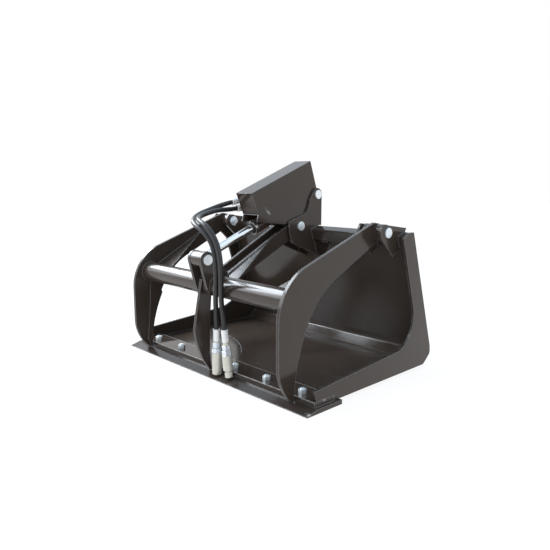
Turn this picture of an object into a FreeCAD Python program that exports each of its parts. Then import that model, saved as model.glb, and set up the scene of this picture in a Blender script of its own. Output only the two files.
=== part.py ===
import FreeCAD, Part
import math
import os

# Grapple bucket for a compact tool carrier, closed, resting on the ground.
# Frame: X is the width with +X to the right, Y runs from the cutting edge to the rear,
# Z is up. The origin is on the ground under the middle of the cutting edge's front.

# Bucket
EDGE_LENGTH = 1118.0
EDGE_DEPTH = 176.0
EDGE_THICK = 16.0
EDGE_NOSE = 3.0
EDGE_BEVEL = 48.0
BODY_WIDTH = 1090.0
BASE_FRONT = 50.0
BASE_DEPTH = 99.0
BASE_THICK = 19.0
SHELL_THICK = 8.0
SIDE_THICK = 9.5
HEEL_Y = 712.0
HEEL_RUN = 48.0
HEEL_RISE = 39.0
HEEL_BACK_RUN = -4.0
HEEL_BACK_RISE = 33.0
BACK_LEAN = 18.0
BACK_TOP_Z = 564.0
BEND_R = 24.0
SIDE_NOSE_HEIGHT = 37.0
SIDE_NOSE_UNDERCUT = 10.0
SIDE_NOSE_R = 6.0
SIDE_RIM_SLOPE = 4.3
SIDE_RIM_R = 122.0
SIDE_FRONT_LEAN = 17.0
SIDE_TOP_DEPTH = 72.0
SIDE_TOP_FLAT = 32.0
SIDE_TOP_DROP = 21.0
WEAR_WIDTH = 76.0
WEAR_FRONT = 240.0
WEAR_SPACING = 400.0

# Bolts that hold the cutting edge
BOLT_PITCH = 182.5
BOLT_COUNT = 6
BOLT_Y = 87.0
BOLT_D = 15.9
BOLT_HEAD_D = 30.0
BOLT_HEAD_DEPTH = 9.0
NUT_FLATS = 27.0
NUT_HEIGHT = 15.5
BOLT_STICKOUT = 3.0
BOLT_CLEAR = 0.4
NUT_CHAMFER = 30.0

# Top square tube
TUBE_SIDE = 50.8
TUBE_WALL = 6.4
TUBE_CORNER_R = 6.0

# Pivot line of the grapple
PIVOT_Y = 486.0
PIVOT_Z = 566.0
PIN_D = 25.4
PIN_HEAD_D = 39.0
PIN_HEAD_THICK = 8.0
PIN_END = 14.0
WASHER_D = 44.0
WASHER_THICK = 4.0
COTTER_D = 4.8
RUN_CLEAR = 0.05
FIT_CLEAR = 0.1
SIDE_CLEAR = 0.3
EAR_THICK = 9.5
EAR_R = 41.0
EAR_TOP_LIFT = 28.5
EAR_TOP_FALL = 7.6
EAR_OVERHANG = 8.0
EAR_V_FORWARD = 42.0
EAR_V_DROP = 26.0
OUTER_EAR_X = 505.0
EAR_SPAN = 111.0
BUSH_D = 44.0
COLLAR_D = 62.0

# Mast for the cylinder
MAST_GAP = 96.0
BASE_PIN_Y = 592.0
BASE_PIN_Z = 699.0
MAST_TOP_R = 28.0
MAST_HUB_R = 37.0
MAST_BACK_DROP = 150.0
MAST_THROAT = [(-49.0, -22.0), (-57.0, -55.0), (-78.0, -84.0)]
MAST_FOOT = [(-40.0, 32.0), (-66.0, 22.0), (-66.0, -26.0), (-48.0, -70.0)]

# Grapple arms
ARM_THICK = 12.7
ARM_INSET = 45.0
ARM_LOBE_R = 33.0
ARM_TOP_LIFT = 42.0
ARM_CORNER_LEAD = 7.5
ARM_TOP_SLOPE = 19.5
ARM_LOW_SLOPE = 26.0
ARM_SHOULDER_R = 190.0
ARM_FRONT_Y = -32.0
ARM_TOE_R = 172.0
ARM_TOE_Z = 150.0
ARM_LOW_DROP = 31.0
ARM_LOW_REACH = 224.0
ARM_REAR = [(101.0, -17.0), (50.0, -100.0), (9.0, -208.0)]
TIP_WIDTH = 8.0
TIP_GAP = 0.5
DOUBLER_THICK = 12.7
DOUBLER_ROOT = [(26.0, -22.0), (-6.0, -30.0), (-12.0, -83.0)]
DOUBLER_FRONT = [(-22.0, -214.0), (-31.0, -301.5)]
DOUBLER_LIFT = 2.0
CROSS_D = 82.6
CROSS_WALL = 9.5
CROSS_Y = 50.0
CROSS_Z = 358.0
GUSSET_THICK = 8.0
GUSSET_SLOPE = 28.8
GUSSET_LIFT = 9.0
GUSSET_WIDTH = 117.0
GUSSET_REACH = 324.0
GUSSET_STEP = 1.1
CENTRE_GUSSET_WIDTH = 74.0
CENTRE_GUSSET_REACH = 305.0

# Centre arm and tine
CENTRE_WIDTH = 82.0
CENTRE_THICK = 12.7
CENTRE_LOBE_R = 32.0
CENTRE_CHIN = [(-51.3, -9.0), (-39.3, -34.0), (41.3, -14.0)]
CENTRE_NOTCH = (48.3, 44.0)
CENTRE_SHOULDER = (-191.0, -61.0)
TINE_FRONT = [(-51.0, 27.0), (-75.0, -91.0), (-89.0, -168.0), (-74.0, -236.0), (-49.0, -296.0)]
TINE_REAR = [(-19.0, -279.0), (-17.0, -150.0), (-4.0, 0.0)]
ROD_PIN_Y = 0.0
ROD_PIN_Z = 463.0
ROD_PIN_HEAD_D = 40.0
CENTRE_BUSH_D = 40.0

# Cylinder
ROD_D = 31.75
BORE_D = 50.8
BARREL_WALL = 4.8
GLAND_REACH = 288.0
GLAND_LENGTH = 46.0
GLAND_LIP = 10.0
PISTON_LENGTH = 30.0
BASE_EYE_R = 28.0
BASE_EYE_WIDTH = 60.0
BASE_CAP_LENGTH = 24.0
BASE_CAP_REACH = 40.0
BASE_NECK_D = 50.0
PISTON_GROOVE = 4.0
ROD_EYE_R = 30.5
ROD_EYE_WIDTH = 54.0
ROD_EYE_OVERLAP = 4.0
OPEN_PIN_CLEAR = 9.9
PORT_D = 22.0
PORT_HEIGHT = 12.0
LINE_D = 12.7
LINE_BEND = 15.2

# Cylinder guard, placed by its distance from the base pin along and across the cylinder
HOOD_WIDTH = 95.0
HOOD_THICK = 4.8
HOOD_TOP = 147.0
HOOD_BACK = -18.0
HOOD_FRONT = 346.0
HOOD_LIP_ALONG = 343.0
HOOD_LIP_ACROSS = 54.0
HOOD_LOW = -46.0
HOOD_CHEEK = [(362.0, 31.0), (221.0, -43.0), (70.0, -46.0), (22.0, -26.0), (-12.0, -26.0)]
HOOD_EYE_D = 60.0
HOOD_CUT = 60.0

# Elbows on the cylinder guard, by distance along and across the cylinder
ELBOWS = [(285.0, 97.0), (282.0, 59.5)]
ELBOW_REACH = 27.5
ELBOW_FLANGE_D = 32.0
BULKHEAD_NUT = 6.0

# Quick-attach frame on the rear, which the carrier's plate latches to
ATTACH_WIDTH = 520.0
ATTACH_LOW_Z = 150.0
ATTACH_HEIGHT = 210.0
ATTACH_THICK = 9.5
ATTACH_Y = 782.0
LIP_LENGTH = 38.0
LIP_ANGLE = 40.0
FOOT_DEPTH = 74.0
FOOT_THICK = 12.7
LATCH_D = 28.0
LATCH_REACH = 42.0
LATCH_SPACING = 400.0
RIB_THICK = 9.5
RIB_COUNT = 4

# Hoses and couplers
HOSE_D = 19.0
ARC_SHARE = 0.45
# Each profile gives distances along a fitting and its radius there
FERRULE_PROFILE = [(0.0, 13.2), (2.0, 14.0), (14.0, 14.0), (16.0, 13.2), (20.0, 13.2), (22.0, 14.0),
                   (34.0, 14.0), (36.0, 13.2), (40.0, 13.2), (42.0, 14.0), (47.0, 14.0), (48.0, 13.2)]
COUPLER_PROFILES = [
    [(0.0, 15.6), (3.0, 19.5), (16.0, 19.5), (16.0, 18.5), (18.0, 18.5), (18.0, 19.5), (45.0, 19.5),
     (45.0, 18.5), (47.0, 18.5), (47.0, 19.5), (91.0, 19.5), (91.0, 20.5), (108.0, 20.5), (108.0, 15.2),
     (131.0, 15.2), (131.0, 12.2), (136.0, 12.2)],
    [(0.0, 14.2), (1.0, 15.2), (18.0, 15.2), (18.0, 12.8), (27.0, 12.8), (27.0, 18.5), (28.5, 19.5),
     (86.0, 19.5), (86.0, 20.5), (104.0, 20.5), (104.0, 15.2), (124.0, 15.2), (124.0, 12.2), (136.0, 12.2)],
]
# Points of each hose's route after its elbow, and the tip of its coupler
HOSE_ROUTES = [
    [(-90, 178, 661), (-97, 122, 643), (-85, 62, 629), (-52, 5, 613), (0, -30, 597), (61, -30, 575),
     (103, -21, 529), (118, -19, 460), (113, -16, 386), (91, -3, 319), (66, 18, 260)],
    [(-69, 193, 641), (-60, 134, 642), (-53, 70, 631), (-29, 13, 619), (21, -22, 611), (82, -28, 592),
     (131, -22, 539), (153, -23, 457), (146, -19, 373), (114, 6, 310), (99, 25, 256)],
]
COUPLER_TIPS = [(55, 27.5, 14.7), (124.5, 30.5, 18.6)]

LEFT = -1
RIGHT = 1


# Geometry of points and outlines in the Y, Z plane

def polar(centre, radius, degrees):
    """Point at a distance and an angle from a centre."""
    a = math.radians(degrees)
    return (centre[0] + radius * math.cos(a), centre[1] + radius * math.sin(a))


def tangent(centre, radius, point, side):
    """Point where a line from a point touches a circle. The side is 1 or -1."""
    dy = point[0] - centre[0]
    dz = point[1] - centre[1]
    base = math.degrees(math.atan2(dz, dy))
    swing = math.degrees(math.acos(radius / math.hypot(dy, dz)))
    return polar(centre, radius, base + side * swing)


def meet(p, p_angle, q, q_angle):
    """Point where two lines meet, each given by a point and a direction."""
    a = math.radians(p_angle)
    b = math.radians(q_angle)
    cross = math.cos(a) * math.sin(b) - math.sin(a) * math.cos(b)
    t = ((q[0] - p[0]) * math.sin(b) - (q[1] - p[1]) * math.cos(b)) / cross
    return (p[0] + t * math.cos(a), p[1] + t * math.sin(a))


def flat(point, x=0.0):
    return FreeCAD.Vector(x, point[0], point[1])


def plate(outline, x0, x1):
    """Flat plate from x0 to x1. An outline is points, with (through, end) for an arc."""
    start = outline[0]
    here = start
    edges = []
    for step in list(outline[1:]) + [start]:
        if isinstance(step[0], tuple):
            edges.append(Part.Arc(flat(here, x0), flat(step[0], x0), flat(step[1], x0)).toShape())
            here = step[1]
        elif math.dist(here, step) > 1e-6:
            edges.append(Part.LineSegment(flat(here, x0), flat(step, x0)).toShape())
            here = step
    face = Part.Face(Part.Wire(edges))
    return face.extrude(FreeCAD.Vector(x1 - x0, 0, 0))


def round_corner(before, corner, after, radius):
    """Two steps of an outline that round a corner: a point, then an arc."""
    a = (before[0] - corner[0], before[1] - corner[1])
    b = (after[0] - corner[0], after[1] - corner[1])
    la = math.hypot(*a)
    lb = math.hypot(*b)
    a = (a[0] / la, a[1] / la)
    b = (b[0] / lb, b[1] / lb)
    half = math.acos(a[0] * b[0] + a[1] * b[1]) / 2
    reach = radius / math.tan(half)
    mid = (a[0] + b[0], a[1] + b[1])
    lm = math.hypot(*mid)
    depth = radius / math.sin(half) - radius
    first = (corner[0] + a[0] * reach, corner[1] + a[1] * reach)
    last = (corner[0] + b[0] * reach, corner[1] + b[1] * reach)
    through = (corner[0] + mid[0] / lm * depth, corner[1] + mid[1] / lm * depth)
    return [first, (through, last)]


def round_bar(point, diameter, x0, x1):
    """Cylinder along X through a point of the Y, Z plane."""
    return Part.makeCylinder(diameter / 2, x1 - x0, flat(point, x0), FreeCAD.Vector(1, 0, 0))


def clean(shape):
    shape = shape.removeSplitter()
    if len(shape.Solids) == 1:
        return shape.Solids[0]
    return shape


def fuse(shapes):
    return clean(shapes[0].multiFuse(shapes[1:]))


def mirrored(shape):
    return shape.mirror(FreeCAD.Vector(0, 0, 0), FreeCAD.Vector(1, 0, 0))


def save(name, shape):
    """Write one named sub-part and say whether its solids are sound."""
    shape.exportStep(os.path.join("parts", name + ".step"))
    print(name, len(shape.Solids), "solid(s)", shape.isValid(), round(shape.Volume / 1000, 1), "cm3")


# Places worked out from the driving sizes

PIVOT = (PIVOT_Y, PIVOT_Z)
BASE_PIN = (BASE_PIN_Y, BASE_PIN_Z)
ROD_PIN = (ROD_PIN_Y, ROD_PIN_Z)
CROSS = (CROSS_Y, CROSS_Z)

SIDE_X = BODY_WIDTH / 2
SIDE_INNER_X = SIDE_X - SIDE_THICK
FLOOR_Z = EDGE_THICK
BASE_REAR = BASE_FRONT + BASE_DEPTH
BASE_TOP = EDGE_THICK + BASE_THICK
HEEL_LOW = (HEEL_Y + HEEL_RUN, FLOOR_Z + HEEL_RISE)
HEEL_HIGH = (HEEL_LOW[0] + HEEL_BACK_RUN, HEEL_LOW[1] + HEEL_BACK_RISE)
BACK_ANGLE = 90 + BACK_LEAN
BACK_TOP = meet(HEEL_HIGH, BACK_ANGLE, (0, BACK_TOP_Z), 0)

MAST_INNER_X = MAST_GAP / 2
MAST_OUTER_X = MAST_INNER_X + EAR_THICK
INNER_EAR_X = OUTER_EAR_X - EAR_SPAN
ARM_OUTER_X = OUTER_EAR_X - ARM_INSET
ARM_INNER_X = ARM_OUTER_X - ARM_THICK
CENTRE_OUTER_X = CENTRE_WIDTH / 2
CENTRE_INNER_X = CENTRE_OUTER_X - CENTRE_THICK
CROSS_R = CROSS_D / 2
TIP_Z = EDGE_THICK + TIP_GAP

FERRULE_LENGTH = FERRULE_PROFILE[-1][0]
COUPLER_LENGTH = COUPLER_PROFILES[0][-1][0]

CYL_LENGTH = math.dist(ROD_PIN, BASE_PIN)
CYL_ALONG = ((ROD_PIN[0] - BASE_PIN[0]) / CYL_LENGTH, (ROD_PIN[1] - BASE_PIN[1]) / CYL_LENGTH)
CYL_ACROSS = (CYL_ALONG[1], -CYL_ALONG[0])
BARREL_D = BORE_D + 2 * BARREL_WALL
BARREL_FRONT = CYL_LENGTH - GLAND_REACH


def on_cylinder(along, across):
    """Point at a distance along and above the cylinder's axis from the base pin."""
    return (BASE_PIN[0] + CYL_ALONG[0] * along + CYL_ACROSS[0] * across,
            BASE_PIN[1] + CYL_ALONG[1] * along + CYL_ACROSS[1] * across)


def bar_on_cylinder(diameter, start, end):
    """Round bar on the cylinder's axis between two distances from the base pin."""
    direction = FreeCAD.Vector(0, CYL_ALONG[0], CYL_ALONG[1])
    return Part.makeCylinder(diameter / 2, end - start, flat(on_cylinder(start, 0)), direction)


# Bucket pieces

def cutting_edge():
    outline = [(0, 0), (EDGE_DEPTH, 0), (EDGE_DEPTH, EDGE_THICK), (EDGE_BEVEL, EDGE_THICK), (0, EDGE_NOSE)]
    edge = plate(outline, -EDGE_LENGTH / 2, EDGE_LENGTH / 2)
    return clean(edge.cut(Part.makeCompound(bolt_shanks(BOLT_CLEAR))))


def bolt_places():
    first = -BOLT_PITCH * (BOLT_COUNT - 1) / 2
    return [first + BOLT_PITCH * i for i in range(BOLT_COUNT)]


def bolt_shanks(extra):
    """Countersunk head and shank of each bolt, larger by the clearance given."""
    top = BASE_TOP + NUT_HEIGHT + BOLT_STICKOUT
    shanks = []
    for x in bolt_places():
        head = Part.makeCone(BOLT_HEAD_D / 2 + extra, BOLT_D / 2 + extra, BOLT_HEAD_DEPTH,
                             FreeCAD.Vector(x, BOLT_Y, 0))
        shank = Part.makeCylinder(BOLT_D / 2 + extra, top, FreeCAD.Vector(x, BOLT_Y, 0))
        shanks.append(fuse([head, shank]))
    return shanks


def base_edge():
    outline = [(BASE_FRONT, EDGE_THICK), (BASE_REAR, EDGE_THICK), (BASE_REAR, BASE_TOP), (BASE_FRONT, BASE_TOP)]
    edge = plate(outline, -SIDE_X, SIDE_X)
    return clean(edge.cut(Part.makeCompound(bolt_shanks(BOLT_CLEAR))))


def hex_prism(flats, height, place):
    corner = flats / math.sqrt(3)
    points = [place + FreeCAD.Vector(corner * math.cos(math.radians(60 * i)),
                                     corner * math.sin(math.radians(60 * i)), 0) for i in range(6)]
    return Part.Face(Part.makePolygon(points + [points[0]])).extrude(FreeCAD.Vector(0, 0, height))


def hex_nuts():
    nuts = []
    for x in bolt_places():
        nut = hex_prism(NUT_FLATS, NUT_HEIGHT, FreeCAD.Vector(x, BOLT_Y, BASE_TOP))
        hole = Part.makeCylinder(BOLT_D / 2 + FIT_CLEAR, NUT_HEIGHT, FreeCAD.Vector(x, BOLT_Y, BASE_TOP))
        nuts.append(clean(nut.cut(hole).common(nut_cone(x))))
    return Part.makeCompound(nuts)


def nut_cone(x):
    """Cone that bevels a nut's upper corners and leaves its flats."""
    drop = 2 * NUT_HEIGHT
    spread = drop / math.tan(math.radians(NUT_CHAMFER))
    top = NUT_FLATS / 2
    return Part.makeCone(top + spread, top, drop, FreeCAD.Vector(x, BOLT_Y, BASE_TOP + NUT_HEIGHT - drop))


def shell_path(inset):
    """Bent line of the floor, heel and back, moved inwards by the inset."""
    corners = [(BASE_REAR, FLOOR_Z), (HEEL_Y, FLOOR_Z), HEEL_LOW, HEEL_HIGH, tube_corner(1, -1)]
    angles = [math.degrees(math.atan2(b[1] - a[1], b[0] - a[0])) for a, b in zip(corners, corners[1:])]
    moved = []
    for i, angle in enumerate(angles):
        moved.append(polar(corners[i], inset, angle + 90))
    path = [moved[0]]
    for i in range(1, len(angles)):
        path.append(meet(moved[i - 1], angles[i - 1], moved[i], angles[i]))
    path.append(polar(corners[-1], inset, angles[-1] + 90))
    return path


def floor_shell():
    """One bent plate: the floor, the 45 degree heel and the leaning back."""
    outer = shell_path(0)
    inner = shell_path(SHELL_THICK)
    steps = [outer[0]]
    steps += round_corner(outer[0], outer[1], outer[2], BEND_R)
    steps += round_corner(outer[1], outer[2], outer[3], BEND_R)
    steps += [outer[3], outer[4], inner[4], inner[3]]
    back = round_corner(inner[3], inner[2], inner[1], BEND_R - SHELL_THICK)
    steps += back
    steps += round_corner(inner[2], inner[1], inner[0], BEND_R - SHELL_THICK)
    steps += [inner[0]]
    return plate(steps, -SIDE_INNER_X, SIDE_INNER_X)


def side_plate():
    """Right side plate, with its low front rim and the large rounded corner."""
    nose_low = (BASE_FRONT + SIDE_NOSE_UNDERCUT, BASE_TOP)
    nose_top = (BASE_FRONT, BASE_TOP + SIDE_NOSE_HEIGHT)
    top_front = (BACK_TOP[0] - SIDE_TOP_DEPTH, BACK_TOP[1])
    corner = meet(nose_top, SIDE_RIM_SLOPE, top_front, 90 + SIDE_FRONT_LEAN)
    outline = [nose_low, (BASE_REAR, BASE_TOP), (BASE_REAR, FLOOR_Z)]
    outline += round_corner((BASE_REAR, FLOOR_Z), (HEEL_Y, FLOOR_Z), HEEL_LOW, BEND_R)
    outline += round_corner((HEEL_Y, FLOOR_Z), HEEL_LOW, HEEL_HIGH, BEND_R)
    bevel_low = meet(top_front, 90 + SIDE_FRONT_LEAN, (0, BACK_TOP[1] - SIDE_TOP_DROP), 0)
    outline += [HEEL_HIGH, BACK_TOP, (BACK_TOP[0] - SIDE_TOP_FLAT, BACK_TOP[1]), bevel_low]
    outline += round_corner(bevel_low, corner, nose_top, SIDE_RIM_R)
    outline += round_corner(corner, nose_top, nose_low, SIDE_NOSE_R)
    return plate(outline, SIDE_INNER_X, SIDE_X)


def tube_corner(depth, height):
    """Corner of the top tube: depth 1 is its rear face, height -1 its lower face."""
    rear = BACK_TOP
    lean = BACK_ANGLE
    point = polar(rear, TUBE_SIDE * (1 - depth) / 2, lean + 90)
    return polar(point, TUBE_SIDE * (1 - height) / 2, lean + 180)


def top_tube():
    """Square tube with rounded corners, between the side plates."""
    corners = [tube_corner(1, 1), tube_corner(-1, 1), tube_corner(-1, -1), tube_corner(1, -1)]
    steps = []
    for i in range(4):
        steps += round_corner(corners[i - 1], corners[i], corners[(i + 1) % 4], TUBE_CORNER_R)
    solid = plate(steps, -SIDE_INNER_X, SIDE_INNER_X)
    middle = ((corners[0][0] + corners[2][0]) / 2, (corners[0][1] + corners[2][1]) / 2)
    inner = []
    for corner in corners:
        share = 1 - 2 * TUBE_WALL / TUBE_SIDE
        inner.append((middle[0] + (corner[0] - middle[0]) * share, middle[1] + (corner[1] - middle[1]) * share))
    return clean(solid.cut(plate(inner, -SIDE_INNER_X, SIDE_INNER_X)))


def wear_strips():
    """Three flat runners under the floor, level with the cutting edge's underside."""
    strips = []
    for x in (-WEAR_SPACING, 0, WEAR_SPACING):
        outline = [(WEAR_FRONT + FLOOR_Z, 0), (HEEL_Y - 2 * FLOOR_Z, 0), (HEEL_Y - FLOOR_Z, FLOOR_Z),
                   (WEAR_FRONT, FLOOR_Z)]
        strips.append(plate(outline, x - WEAR_WIDTH / 2, x + WEAR_WIDTH / 2))
    return Part.makeCompound(strips)


# Ears on the top tube

def ear_blank(x0, x1):
    """Pivot ear: round in front of the pin, a straight sloped top and a V below the tube."""
    fall = -EAR_TOP_FALL
    top = (PIVOT_Y, PIVOT_Z + EAR_TOP_LIFT)
    lift = EAR_TOP_LIFT * math.cos(math.radians(EAR_TOP_FALL))
    corner = polar(PIVOT, EAR_R, 90 + fall + math.degrees(math.acos(lift / EAR_R)))
    tube_top = tube_corner(1, 1)
    rear = meet(top, fall, (tube_top[0] + EAR_OVERHANG, 0), 90)
    low_front = tube_corner(-1, -1)
    point_v = (low_front[0] - EAR_V_FORWARD, low_front[1] - EAR_V_DROP)
    outline = [corner, rear, tube_top, tube_corner(-1, 1), low_front, point_v,
               tangent(PIVOT, EAR_R, point_v, -1), (polar(PIVOT, EAR_R, 180), corner)]
    return plate(outline, x0, x1)


def pivot_hole(shape, x0, x1):
    return clean(shape.cut(round_bar(PIVOT, PIN_D + 2 * FIT_CLEAR, x0 - 1, x1 + 1)))


def tube_block():
    """Solid block of the top tube's outer size, which ears are cut back from."""
    corners = [tube_corner(1, 1), tube_corner(-1, 1), tube_corner(-1, -1), tube_corner(1, -1)]
    return plate(corners, -SIDE_X, SIDE_X)


def shell_block():
    """Solid block behind the back plate's inner face."""
    path = shell_path(SHELL_THICK)
    far = HEEL_LOW[0] + TUBE_SIDE
    outline = [path[3], (far, path[3][1]), (far, path[4][1]), path[4]]
    return plate(outline, -SIDE_X, SIDE_X)


def outer_ear():
    ear = ear_blank(OUTER_EAR_X - EAR_THICK, OUTER_EAR_X)
    return pivot_hole(ear.cut(tube_block()), OUTER_EAR_X - EAR_THICK, OUTER_EAR_X)


def inner_ear():
    ear = ear_blank(INNER_EAR_X, INNER_EAR_X + EAR_THICK)
    return pivot_hole(ear.cut(tube_block()), INNER_EAR_X, INNER_EAR_X + EAR_THICK)


def shifted(centre, offsets):
    """Points at the given offsets from a centre."""
    return [(centre[0] + dy, centre[1] + dz) for dy, dz in offsets]


def mast_plate():
    """Tall ear that carries the grapple's centre pivot and the cylinder's base pin."""
    x0 = MAST_INNER_X
    x1 = MAST_OUTER_X
    rear_y = BASE_PIN_Y + MAST_TOP_R
    throat_top, throat_mid, throat_low = shifted(BASE_PIN, MAST_THROAT)
    brow, foot_front, foot_low, keel = shifted(PIVOT, MAST_FOOT)
    back_low = meet(shell_path(SHELL_THICK)[3], BACK_ANGLE, (0, PIVOT_Z - MAST_BACK_DROP), 0)
    neck = tangent(BASE_PIN, MAST_TOP_R, throat_top, -1)
    outline = [(rear_y, BASE_PIN_Z), (rear_y, tube_corner(1, 1)[1]), tube_corner(1, 1), back_low, keel,
               foot_low, foot_front, brow, throat_low, (throat_mid, throat_top), neck, BASE_PIN]
    blank = plate(outline, x0, x1)
    ear = fuse([blank, round_bar(BASE_PIN, 2 * MAST_TOP_R, x0, x1), round_bar(PIVOT, 2 * MAST_HUB_R, x0, x1)])
    ear = ear.cut(tube_block()).cut(shell_block())
    ear = ear.cut(round_bar(BASE_PIN, PIN_D + 2 * FIT_CLEAR, x0 - 1, x1 + 1))
    ear = pivot_hole(ear, x0, x1)
    return max(ear.Solids, key=lambda s: s.Volume)


# Pins

def pin(centre, x0, x1, diameter, head_d):
    """Pin from x0 to x1 with a flat head outside x1 and a cross hole at its far end."""
    shaft = round_bar(centre, diameter, x0 - WASHER_THICK - PIN_END, x1)
    bevel = PIN_HEAD_THICK / 6
    head = round_bar(centre, head_d, x1, x1 + PIN_HEAD_THICK - bevel)
    rim = Part.makeCone(head_d / 2, head_d / 2 - bevel, bevel, flat(centre, x1 + PIN_HEAD_THICK - bevel),
                        FreeCAD.Vector(1, 0, 0))
    hole = Part.makeCylinder(COTTER_D / 2 + FIT_CLEAR, 2 * diameter,
                             flat((centre[0], centre[1] - diameter), x0 - WASHER_THICK - PIN_END / 2))
    return clean(fuse([shaft, head, rim]).cut(hole))


def pin_washer(centre, x0, diameter):
    washer = round_bar(centre, WASHER_D, x0 - WASHER_THICK, x0)
    return clean(washer.cut(round_bar(centre, diameter + 2 * FIT_CLEAR, x0 - WASHER_THICK - 1, x0 + 1)))


def roll_pin(centre, x0, diameter):
    """Cross pin that keeps a washer on the far end of a pin."""
    length = diameter + 4 * COTTER_D
    return Part.makeCylinder(COTTER_D / 2, length,
                             flat((centre[0], centre[1] - length / 2), x0 - WASHER_THICK - PIN_END / 2))


def bushing(centre, outer_d, x0, x1):
    body = round_bar(centre, outer_d, x0, x1)
    return clean(body.cut(round_bar(centre, PIN_D + 2 * RUN_CLEAR, x0 - 1, x1 + 1)))


def arm_bushing():
    """Bushing through an arm, with a collar on each side that fills the gap to the ears."""
    x0 = INNER_EAR_X + EAR_THICK + SIDE_CLEAR
    x1 = OUTER_EAR_X - EAR_THICK - SIDE_CLEAR
    body = fuse([bushing(PIVOT, BUSH_D, x0, x1), round_bar(PIVOT, COLLAR_D, x0, ARM_INNER_X),
                 round_bar(PIVOT, COLLAR_D, ARM_OUTER_X, x1)])
    return clean(body.cut(round_bar(PIVOT, PIN_D + 2 * RUN_CLEAR, x0 - 1, x1 + 1)))


# Quick-attach frame

def attach_plate():
    """Upright plate, a hooked lip along its top and a flat foot with two latch holes."""
    front = ATTACH_Y - ATTACH_THICK
    top = ATTACH_LOW_Z + ATTACH_HEIGHT
    half = ATTACH_WIDTH / 2
    lip_out = polar((ATTACH_Y, top), LIP_LENGTH, 90 - LIP_ANGLE)
    lip_in = polar(lip_out, ATTACH_THICK, 180 - LIP_ANGLE)
    lip_root = meet(lip_in, 90 - LIP_ANGLE, (front, 0), 90)
    outline = [(ATTACH_Y + FOOT_DEPTH, ATTACH_LOW_Z), (ATTACH_Y + FOOT_DEPTH, ATTACH_LOW_Z + FOOT_THICK),
               (ATTACH_Y, ATTACH_LOW_Z + FOOT_THICK), (ATTACH_Y, top), lip_out, lip_in, lip_root,
               (front, ATTACH_LOW_Z)]
    body = plate(outline, -half, half)
    for side in (LEFT, RIGHT):
        place = FreeCAD.Vector(side * LATCH_SPACING / 2, ATTACH_Y + LATCH_REACH, ATTACH_LOW_Z - 1)
        body = body.cut(Part.makeCylinder(LATCH_D / 2, FOOT_THICK + 2, place))
    return clean(body)


def attach_ribs():
    """Upright ribs that stand the plate off the leaning back."""
    top = ATTACH_LOW_Z + ATTACH_HEIGHT
    outer = shell_path(0)
    low = meet(outer[3], BACK_ANGLE, (0, ATTACH_LOW_Z), 0)
    high = meet(outer[3], BACK_ANGLE, (0, top), 0)
    front = ATTACH_Y - ATTACH_THICK
    ribs = []
    for i in range(RIB_COUNT):
        x = -ATTACH_WIDTH / 2 + (ATTACH_WIDTH - RIB_THICK) * i / (RIB_COUNT - 1)
        ribs.append(plate([low, (front, ATTACH_LOW_Z), (front, top), high], x, x + RIB_THICK))
    return Part.makeCompound(ribs)


# Grapple pieces

def arm_low_line():
    """Point on the lower straight edge of the arms, which runs past under the pivot."""
    return polar(PIVOT, ARM_LOW_DROP, 270 + ARM_LOW_SLOPE)


def arm_rear_points():
    """Points down the rear of an arm, from its straight lower edge to its tip."""
    bend = meet(arm_low_line(), ARM_LOW_SLOPE, (PIVOT_Y - ARM_LOW_REACH, 0), 90)
    return [bend] + shifted(CROSS, ARM_REAR) + [(tip_front() + TIP_WIDTH, TIP_Z)]


def tip_front():
    centre_y = ARM_FRONT_Y + ARM_TOE_R
    return centre_y - math.sqrt(ARM_TOE_R ** 2 - (ARM_TOE_Z - TIP_Z) ** 2)


def arm():
    """Side arm: a hub at the pivot, a round shoulder, an upright front and a curved tine."""
    on_top = polar(PIVOT, ARM_TOP_LIFT, 90 + ARM_TOP_SLOPE)
    corner = polar(on_top, ARM_CORNER_LEAD, 180 + ARM_TOP_SLOPE)
    shoulder_line = polar(on_top, ARM_SHOULDER_R, 270 + ARM_TOP_SLOPE)
    shoulder = meet(shoulder_line, ARM_TOP_SLOPE, (ARM_FRONT_Y + ARM_SHOULDER_R, 0), 90)
    toe = (ARM_FRONT_Y + ARM_TOE_R, ARM_TOE_Z)
    bend, mid_high, mid, mid_low, tip_rear = arm_rear_points()
    start = polar(shoulder, ARM_SHOULDER_R, 90 + ARM_TOP_SLOPE)
    outline = [PIVOT, tangent(PIVOT, ARM_LOBE_R, corner, -1), corner, start,
               (polar(shoulder, ARM_SHOULDER_R, 135 + ARM_TOP_SLOPE / 2), polar(shoulder, ARM_SHOULDER_R, 180)),
               polar(toe, ARM_TOE_R, 180), (polar(toe, ARM_TOE_R, 205), (tip_front(), TIP_Z)), tip_rear,
               (mid_low, mid), (mid_high, bend), arm_low_line()]
    blank = plate(outline, ARM_INNER_X, ARM_OUTER_X)
    body = fuse([blank, round_bar(PIVOT, 2 * ARM_LOBE_R, ARM_INNER_X, ARM_OUTER_X)])
    return clean(body.cut(round_bar(PIVOT, BUSH_D, ARM_INNER_X - 1, ARM_OUTER_X + 1)))


def doubler():
    """Second plate that stiffens the tine, on the arm's inner face below the cross tube."""
    bend, mid_high, mid, mid_low, tip_rear = arm_rear_points()
    root_rear, root_front, top_front = shifted(CROSS, DOUBLER_ROOT)
    front_mid, front_low = shifted(CROSS, DOUBLER_FRONT)
    low = TIP_Z + DOUBLER_LIFT
    outline = [root_front, top_front, (front_mid, front_low), (tip_front() + DOUBLER_LIFT, low),
               (tip_rear[0], low), (mid_low, mid), root_rear]
    return clean(plate(outline, ARM_INNER_X - DOUBLER_THICK, ARM_INNER_X).cut(cross_bar()))


def cross_tube():
    tube = round_bar(CROSS, CROSS_D, -ARM_INNER_X, ARM_INNER_X)
    return clean(tube.cut(round_bar(CROSS, CROSS_D - 2 * CROSS_WALL, -ARM_INNER_X - 1, ARM_INNER_X + 1)))


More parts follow.
